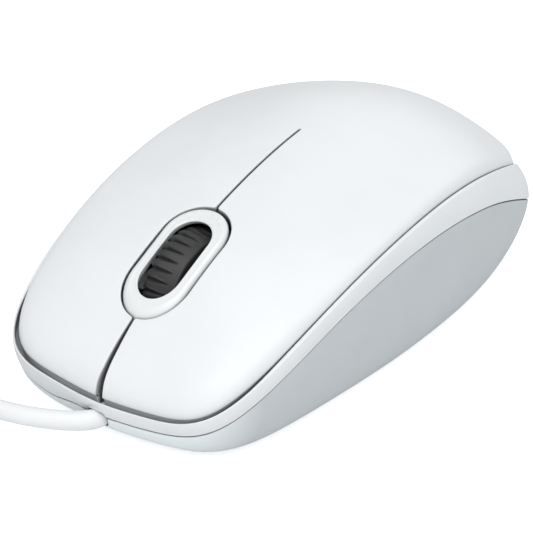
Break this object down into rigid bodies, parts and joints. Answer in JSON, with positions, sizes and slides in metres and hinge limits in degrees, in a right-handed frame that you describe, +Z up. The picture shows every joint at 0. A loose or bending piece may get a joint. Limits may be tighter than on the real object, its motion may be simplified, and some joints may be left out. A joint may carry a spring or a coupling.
{
  "type": "computer mouse",
  "caption": "Low corded computer mouse: domed white cover split into two press fingers, oval-framed black scroll wheel, slim band, grey base, short cable with a rectangular plug.",
  "frame": {"origin": "on the desk plane, on the face of the centre glide foot, under the middle of the mouse body (cable and plug left out)", "axes": "+Z up, -Y towards the nose where the cable leaves, +X towards the hand's left, the side with the left finger"},
  "size_m": [0.1029, 0.124, 0.0386],
  "materials": {
    "cover_white": "smooth semi-gloss moulding",
    "band_white": "smooth semi-gloss moulding",
    "base_grey": "fine satin moulding",
    "bezel_white": "smooth semi-gloss moulding",
    "tyre_black": "soft matt rubber with cross grooves",
    "hub_black": "satin",
    "cradle_white": "satin acetal",
    "spring_steel": "drawn wire",
    "board_green": "solder-masked glass fibre board",
    "chip_black": "moulded package",
    "lens_clear": "clear optical plastic",
    "led_red": "tinted resin",
    "switch_black": "moulded switch case",
    "plunger_white": "satin",
    "cable_white": "smooth soft PVC",
    "wire_red": "PVC insulation",
    "wire_green": "PVC insulation",
    "wire_white": "PVC insulation",
    "wire_black": "PVC insulation",
    "header_cream": "nylon",
    "screw_steel": "zinc plated",
    "foot_grey": "low-friction sheet",
    "label_grey": "blank film",
    "shell_steel": "nickel-plated sheet",
    "can_blue": "sleeved aluminium can"
  },
  "bodies": {
    "housing": {"base_case": "base_grey", "blank_label": "label_grey", "board_header": "header_cream", "board_screw": "screw_steel", "cable_jacket": "cable_white", "capacitor": "can_blue", "case_screw": "screw_steel", "core_black": "wire_black", "core_green": "wire_green", "core_red": "wire_red", "core_white": "wire_white", "cradle_spring": "spring_steel", "encoder_detector": "chip_black", "encoder_emitter": "chip_black", "centre_glide_foot": "foot_grey", "front_glide_foot": "foot_grey", "header_plug": "header_cream", "led_clip": "switch_black", "left_switch_body": "switch_black", "lens_plate": "lens_clear", "main_board": "board_green", "middle_band": "band_white", "middle_switch_body": "switch_black", "palm_cover": "cover_white", "plug_overmould": "cable_white", "plug_shell": "shell_steel", "plug_tongue": "header_cream", "rear_glide_foot": "foot_grey", "right_switch_body": "switch_black", "sensor_chip": "chip_black", "sensor_led": "led_red", "strain_relief": "cable_white", "wheel_bezel": "bezel_white"},
    "left_finger": {"left_button": "cover_white"},
    "right_finger": {"right_button": "cover_white"},
    "left_plunger": {"left_switch_plunger": "plunger_white"},
    "right_plunger": {"right_switch_plunger": "plunger_white"},
    "middle_plunger": {"middle_switch_plunger": "plunger_white"},
    "cradle": {"wheel_cradle": "cradle_white", "click_spring": "spring_steel"},
    "scroll_wheel": {"wheel_tyre": "tyre_black", "wheel_hub": "hub_black"}
  },
  "joints": [
    {"name": "left_finger_press", "type": "hinge", "parent": "housing", "child": "left_finger", "pos_m": [0, 0.0008, 0.034], "axis": [1, 0, 0], "range_deg": [0, 0.7], "stiffness_Nm_per_rad": 1.5, "springref_deg": -0.23},
    {"name": "right_finger_press", "type": "hinge", "parent": "housing", "child": "right_finger", "pos_m": [0, 0.0008, 0.034], "axis": [1, 0, 0], "range_deg": [0, 0.7], "stiffness_Nm_per_rad": 1.5, "springref_deg": -0.23},
    {"name": "left_plunger_slide", "type": "slide", "parent": "housing", "child": "left_plunger", "axis": [0, 0, 1], "range_m": [-0.0005, 0]},
    {"name": "right_plunger_slide", "type": "slide", "parent": "housing", "child": "right_plunger", "axis": [0, 0, 1], "range_m": [-0.0005, 0]},
    {"name": "cradle_press", "type": "hinge", "parent": "housing", "child": "cradle", "pos_m": [0, -0.008, 0.015], "axis": [1, 0, 0], "range_deg": [0, 1.1], "stiffness_Nm_per_rad": 1, "springref_deg": -0.34, "deforming": ["cradle_spring"]},
    {"name": "middle_plunger_slide", "type": "slide", "parent": "housing", "child": "middle_plunger", "axis": [0, 0, 1], "range_m": [-0.0008, 0]},
    {"name": "wheel_spin", "type": "hinge", "parent": "cradle", "child": "scroll_wheel", "pos_m": [0, -0.0302, 0.0179], "axis": [1, 0, 0], "continuous": true}
  ],
  "couplings": [
    {"joint": "left_plunger_slide", "follows": "left_finger_press", "m_per_rad": -0.0363},
    {"joint": "right_plunger_slide", "follows": "right_finger_press", "m_per_rad": -0.0363},
    {"joint": "middle_plunger_slide", "follows": "cradle_press", "m_per_rad": -0.035}
  ]
}
